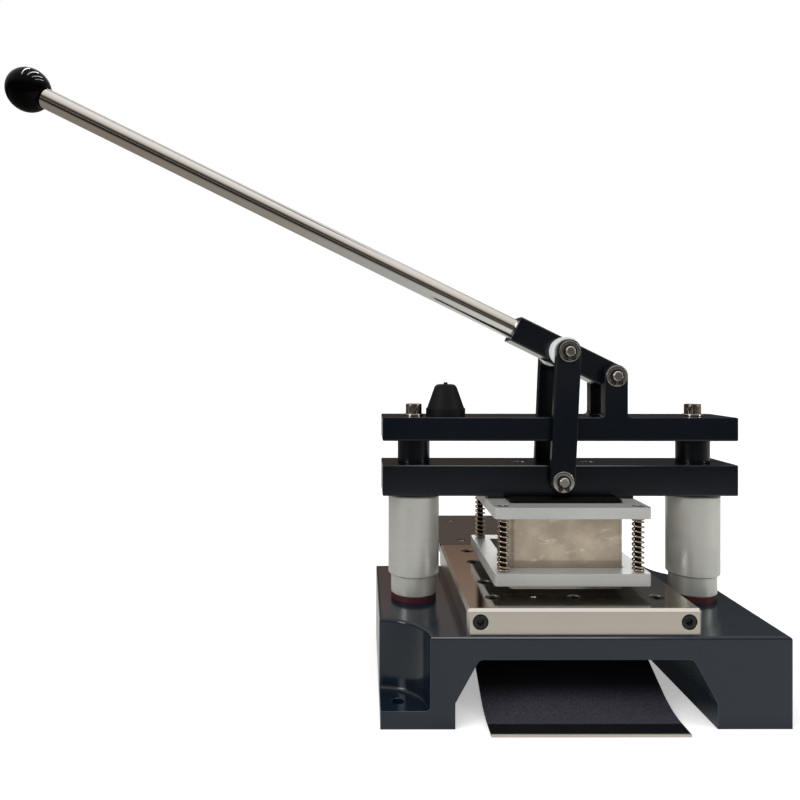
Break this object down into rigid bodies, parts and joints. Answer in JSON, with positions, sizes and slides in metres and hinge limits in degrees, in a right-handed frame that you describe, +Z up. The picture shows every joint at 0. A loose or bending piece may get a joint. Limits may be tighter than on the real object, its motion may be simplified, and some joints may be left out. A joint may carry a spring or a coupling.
{
  "type": "hand lever card cutter press",
  "caption": "Bench press with a long hand lever, linked press beam on guide posts, and a sprung punch and die that cut card blanks from sheet.",
  "frame": {"origin": "on the floor under the base, midway between the two bolt holes in the feet", "axes": "+X to the operator's right along the beams, +Y away from the operator, +Z up"},
  "size_m": [0.5888, 0.3107, 0.4933],
  "materials": {
    "black_rubber": "matt black rubber",
    "black_steel": "black oxide on steel",
    "board": "gloss dark brown coating",
    "brass_insert": "turned brass",
    "bright_steel": "bright zinc or stainless steel",
    "bronze": "bronze bearing metal",
    "chute_sheet": "textured black coating",
    "edge_strip": "pale plastic edging",
    "gasket_red": "dark red rubber",
    "grey_coat": "satin light grey coating",
    "ground_steel": "surface-ground steel",
    "knob_plastic": "glossy black thermoset plastic",
    "painted": "semi-gloss slate blue paint over cast iron",
    "painted_dark": "semi-gloss blue-black paint on steel",
    "polished_rod": "polished stainless steel",
    "spring_steel": "bright spring steel",
    "tool_steel": "hardened tool steel, mottled",
    "white_nylon": "white nylon"
  },
  "bodies": {
    "frame": {"base_casting": "painted", "bed_dowels": "bright_steel", "bed_front_screws": "black_steel", "bed_plate": "ground_steel", "bed_screws": "black_steel", "bracket_screws": "black_steel", "bumper_screw": "black_steel", "chute": "chute_sheet", "chute_edge_strip": "edge_strip", "chute_screws": "black_steel", "column_gaskets": "gasket_red", "die_insert": "tool_steel", "left_collar": "grey_coat", "left_guide_post": "bright_steel", "left_stop_sleeve": "black_steel", "left_table_bracket": "painted_dark", "lever_pivot_clips": "black_steel", "lever_pivot_pin": "bright_steel", "lever_pivot_washers": "bright_steel", "lever_stop_bumper": "black_rubber", "post_base_screws": "black_steel", "rear_table": "board", "return_springs": "spring_steel", "right_collar": "grey_coat", "right_guide_post": "bright_steel", "right_stop_sleeve": "black_steel", "right_table_bracket": "painted_dark", "table_screws": "bright_steel", "top_beam": "painted_dark", "top_cap_screws": "bright_steel", "top_washers": "bright_steel"},
    "lever": {"lever_block": "painted_dark", "lever_rod": "polished_rod", "lever_knob": "knob_plastic", "knob_insert": "brass_insert", "crank_pin": "bright_steel", "crank_washers": "bright_steel", "crank_clips": "black_steel", "link_spacers": "white_nylon"},
    "press_head": {"press_beam": "painted_dark", "left_bushing_housing": "grey_coat", "right_bushing_housing": "grey_coat", "left_guide_bush": "bronze", "right_guide_bush": "bronze", "punch_holder_plate": "grey_coat", "holder_shims": "black_steel", "holder_screws": "black_steel", "punch": "tool_steel", "punch_screws": "bright_steel", "lower_link_pin": "bright_steel", "lower_link_washers": "bright_steel", "lower_link_clips": "black_steel", "front_left_spring": "spring_steel", "front_right_spring": "spring_steel", "rear_left_spring": "spring_steel", "rear_right_spring": "spring_steel"},
    "links": {"front_link": "painted_dark", "rear_link": "painted_dark"},
    "stripper": {"stripper_plate": "grey_coat", "stripper_bolts": "bright_steel"}
  },
  "joints": [
    {"name": "lever_press", "type": "hinge", "parent": "frame", "child": "lever", "pos_m": [0.0437, 0, 0.2436], "axis": [0, -1, 0], "range_deg": [0, 24.5], "stiffness_Nm_per_rad": 10, "springref_deg": -35.52},
    {"name": "beam_travel", "type": "slide", "parent": "frame", "child": "press_head", "axis": [0, 0, -1], "range_m": [0, 0.01792], "deforming": ["return_springs"]},
    {"name": "link_swing", "type": "hinge", "parent": "press_head", "child": "links", "pos_m": [0, 0, 0.1614], "axis": [0, -1, 0], "range_deg": [0, 2.89]},
    {"name": "stripper_travel", "type": "slide", "parent": "press_head", "child": "stripper", "axis": [0, 0, 1], "range_m": [0, 0.01132], "deforming": ["front_left_spring", "front_right_spring", "rear_left_spring", "rear_right_spring"]}
  ],
  "couplings": [
    {"joint": "beam_travel", "follows": "lever_press", "m_per_rad": 0.0419},
    {"joint": "link_swing", "follows": "lever_press", "ratio": 0.118},
    {"joint": "stripper_travel", "follows": "lever_press", "m_per_rad": 0.026465}
  ]
}
